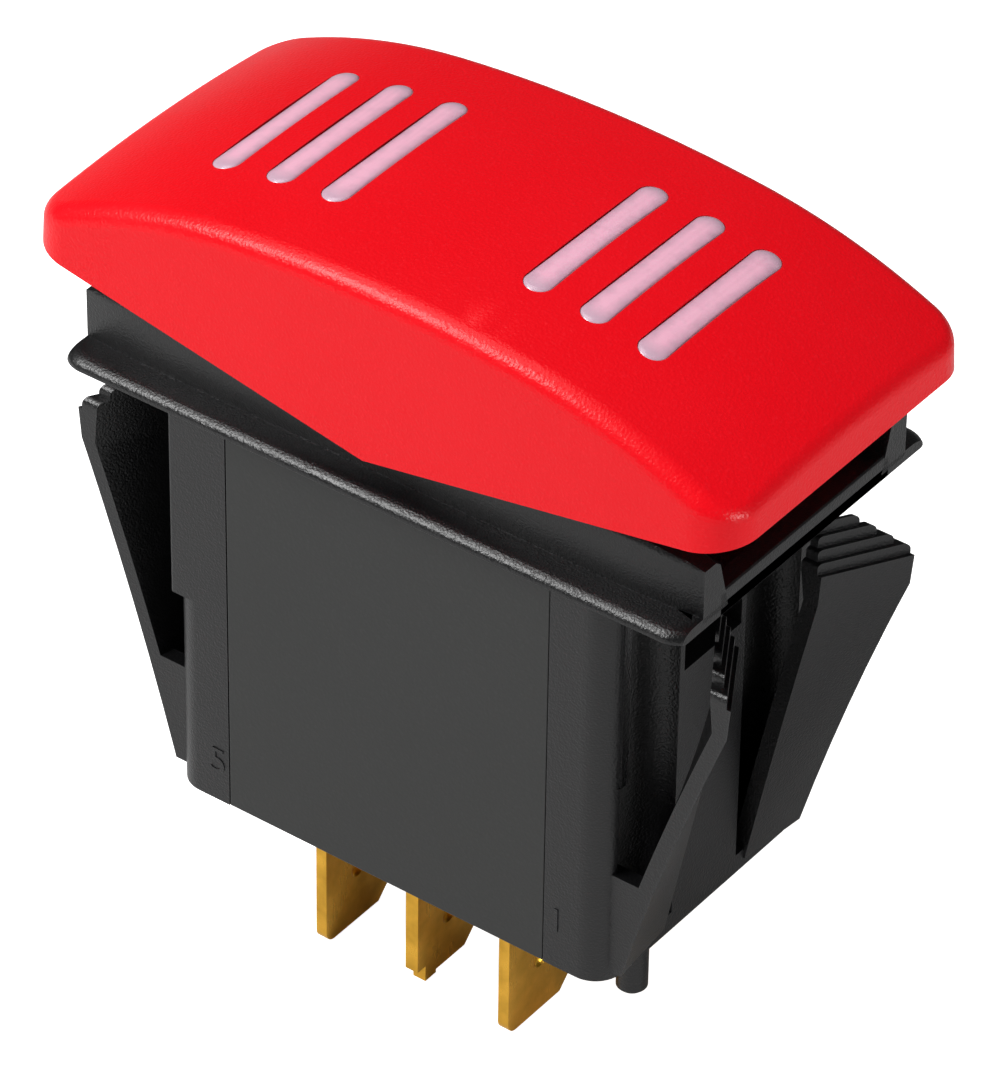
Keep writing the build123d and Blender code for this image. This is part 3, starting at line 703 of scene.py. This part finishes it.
print("rail steps", 2 * len(RAIL_STATIONS) - 1)

# %% [markdown]
# Under each end of the cap the lip is thicker, because it has to bridge the gap between the rails.
# A flat strip is pushed up to that thickness, and its upper long edge is rounded.

# %% The bracket's thick ends
THICK_HALF = 8.45 * MM
THICK_INNER = 21.4 * MM
THICKNESS = 1.68 * MM
THICK_ROUND = 0.25 * MM


def add_thick_end(bm, side):
    """Thick edge at one end of the lip."""
    middle = (THICK_INNER + LIP_END) / 2
    strip = bmesh.ops.create_grid(bm, x_segments=1, y_segments=1, size=1.0)["verts"]
    bmesh.ops.scale(bm, verts=strip, vec=((LIP_END - THICK_INNER) / 2, THICK_HALF, 1.0))
    bmesh.ops.translate(bm, verts=strip, vec=(side * middle, 0, LIP_FOOT * MM))
    grown = bmesh.ops.extrude_face_region(bm, geom=list(strip[0].link_faces),
                                          use_keep_orig=True)["geom"]
    raised = [item for item in grown if isinstance(item, bmesh.types.BMVert)]
    bmesh.ops.translate(bm, verts=raised, vec=(0, 0, THICKNESS))
    upper = [item for item in grown if isinstance(item, bmesh.types.BMEdge)
             and all(abs(abs(vert.co.x) - LIP_END) < TINY for vert in item.verts)]
    bmesh.ops.bevel(bm, geom=upper, offset=THICK_ROUND, segments=3, profile=0.5, affect="EDGES",
                    material=-1)


print("thick ends", round(THICKNESS / MM, 2), "mm")

# %% [markdown]
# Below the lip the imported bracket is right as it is, with its wings, scoops and post. It is cut off
# level with the panel, and of its top only the two ears that carry the cap's pins are kept. Two of
# its upright corners, opposite each other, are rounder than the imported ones, so their points are
# spread over a larger arc.

# %% The bracket's body
EAR_LENGTH = 3.25 * MM
EAR_SIDE = 10.05 * MM
EAR_FOOT = 0.3 * MM
SQUARE_CORNER = 0.3 * MM
ROUND_CORNER = 2.0 * MM
CORNER_END = 16.5 * MM - SQUARE_CORNER
CORNER_SIDE = 10.4 * MM - SQUARE_CORNER
SHOULDER_FOOT = 15.9 * MM


def shape_bracket(bm):
    """Body with its top replaced by the slim lip and the rails."""
    ears = bm.copy()
    for side in (-1, 1):
        cut_off(ears, (side * EAR_LENGTH, 0, 0), (side, 0, 0))
        cut_off(ears, (0, side * EAR_SIDE, 0), (0, side, 0))
    cut_off(ears, (0, 0, EAR_FOOT), (0, 0, -1))
    cut_off(bm, (0, 0, -TINY), (0, 0, 1))
    for vert in bm.verts:
        x, y, z = vert.co
        end, side = abs(x) - CORNER_END, abs(y) - CORNER_SIDE
        if x * y < 0 and z > -SHOULDER_FOOT and min(end, side) > -TINY:
            turn = math.atan2(max(side, 0), max(end, 0))
            back = ROUND_CORNER - SQUARE_CORNER
            vert.co.x = math.copysign(CORNER_END - back + ROUND_CORNER * math.cos(turn), x)
            vert.co.y = math.copysign(CORNER_SIDE - back + ROUND_CORNER * math.sin(turn), y)
    top = bmesh.new()
    add_lip(top)
    for add in (add_rail, add_thick_end):
        for side in (-1, 1):
            add(top, side)
    bmesh.ops.recalc_face_normals(top, faces=top.faces)
    for part in (ears, top):
        holder = new_mesh("holder", part)
        bm.from_mesh(holder)
        bpy.data.meshes.remove(holder)
    print("bracket faces", len(bm.faces))


softened("mounting_bracket", black_plastic, 0, shaping=shape_bracket)

# %% [markdown]
# The blades and the housing only need their edges softened. The punch that stamps a blade drags its
# edge down, so brass gets one more segment for a rounder edge.

# %% Soften the blades and the housing
BLADE_EDGE = 0.14 * MM
BASE_EDGE = 0.12 * MM

for node in nodes:
    if "terminal" in node:
        softened(node, brass, BLADE_EDGE, segments=3)
softened("switch_base", charcoal_plastic, BASE_EDGE)

# %% [markdown]
# Each pin pushes its coil spring together as it slides up into its tube. The spring's copy keeps
# the imported shape, and gets a mesh of its own.

for row in ("near", "far"):
    node = row + "_plunger_spring"
    spring = softened(node, spring_wire, 0, shaping=None)
    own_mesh(spring)

# %% [markdown]
# Each bar of a lens swells a little out of its slot, so that light runs along its rim. The packed
# lens ends flat. A dome is stacked from rings: each ring is a circle pulled apart into the bar's
# long shape, laid on the old top by a ray from above, and bridged to the ring below it. The rings
# also carry the core attribute, from 0 at the rim to 1 along the middle.

# %% Dome maker
BAR_LENGTH = 12.9 * MM
BAR_WIDTH = 1.95 * MM
DOME_POINTS = 32
# distance in from the rim and height over the old top of each ring, in millimetres
RING_STEPS = ((0.01, -0.3), (0.01, 0.0), (0.06, 0.06), (0.16, 0.12), (0.3, 0.16), (0.5, 0.19),
              (0.75, 0.21))
RAY_HEIGHT = 0.05
INSIDE_ACROSS = 0.94
INSIDE_ALONG = 0.985


def height_finder(bm):
    """A function that gives the height of the mesh's top at a place, from inside its outline."""
    tree = BVHTree.FromBMesh(bm)

    def height(x, y, middle):
        inside = Vector((middle + (x - middle) * INSIDE_ACROSS, y * INSIDE_ALONG, RAY_HEIGHT))
        return tree.ray_cast(inside, Vector((0, 0, -1)))[0].z

    return height


def domed_bar(height, middle, name):
    """One bar's dome, closed below."""
    bm = bmesh.new()
    last = None
    for inset, lift in RING_STEPS:
        ring = bmesh.ops.create_circle(bm, segments=DOME_POINTS,
                                       radius=BAR_WIDTH / 2 - inset * MM)["verts"]
        for vert in ring:
            vert.co.y += math.copysign((BAR_LENGTH - BAR_WIDTH) / 2, vert.co.y)
            vert.co.x += middle
            vert.co.z = height(vert.co.x, vert.co.y, middle) + lift * MM
        edges = edges_within(ring)
        if last is None:
            bmesh.ops.contextual_create(bm, geom=edges)
        else:
            bmesh.ops.bridge_loops(bm, edges=last + edges)
        last = edges
    bmesh.ops.contextual_create(bm, geom=last)
    bmesh.ops.recalc_face_normals(bm, faces=bm.faces)
    mesh = smooth_mesh(name, bm)
    core = mesh.attributes.new("core", "FLOAT", "POINT")
    for number, row in enumerate(core.data):
        row.value = (number // DOME_POINTS) / (len(RING_STEPS) - 1)
    return mesh


print("dome rings", len(RING_STEPS))

# %% [markdown]
# Three domes stand on each lens. The old bars stay below them, but their tops sink out of the way.

# %% Domed lens bars
BAR_PLACES = (7.3 * MM, 11.35 * MM, 15.4 * MM)
TOP_SINK = 0.3 * MM
TOP_SKIN = 0.12 * MM
OVER_ACROSS = 0.55
OVER_ALONG = 0.52


def sink_tops(bm):
    """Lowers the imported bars' tops."""
    height = height_finder(bm)
    side = math.copysign(1, sum(v.co.x for v in bm.verts))
    for vert in bm.verts:
        x, y, z = vert.co
        middle = min((side * place for place in BAR_PLACES), key=lambda m: abs(m - x))
        over_bar = abs(x - middle) < BAR_WIDTH * OVER_ACROSS and abs(y) < BAR_LENGTH * OVER_ALONG
        if over_bar and z > height(x, y, middle) - TOP_SKIN:
            vert.co.z -= TOP_SINK


for side, node in ((-1, "lens_left"), (1, "lens_right")):
    bm = bmesh.new()
    bm.from_mesh(nodes[node].data)
    height = height_finder(bm)
    softened(node, lens_plastic, 0, shaping=sink_tops)
    for number, place in enumerate(BAR_PLACES, 1):
        name = node + "_dome_" + str(number)
        add_piece(name, domed_bar(height, side * place, name), lens_plastic, node)
    bm.free()

# %% [markdown]
# The mould's cavity number stands up from the wall at both ends, as is usual for mouldings made
# many at a time. Text becomes a mesh first, and is then stood up on the wall.

# %% Cavity numbers
WALL_SIDE = -10.4 * MM
# text, place along and up, and height, in millimetres
NUMBERS = (("5", -12.93, -28.3, 1.9), ("1", 12.98, -27.7, 1.8))
NUMBER_RISE = 0.06 * MM
DIGIT_HEIGHT = 0.7

for text, x, z, tall in NUMBERS:
    letters = bpy.data.curves.new("number_" + text, "FONT")
    letters.body = text
    letters.align_x = "CENTER"
    letters.size = tall * MM / DIGIT_HEIGHT
    letters.extrude = NUMBER_RISE
    holder = new_object("holder", letters)
    bpy.context.view_layer.update()
    mesh = bpy.data.meshes.new_from_object(holder)
    bpy.data.objects.remove(holder)
    bpy.data.curves.remove(letters)
    mesh.transform(Matrix.Translation((x * MM, WALL_SIDE, z * MM))
                   @ Matrix.Rotation(math.pi / 2, 4, "X"))
    mesh.name = "cavity_number_" + text
    add_piece(mesh.name, mesh, black_plastic, "mounting_bracket")
print("numbers", [row[0] for row in NUMBERS])
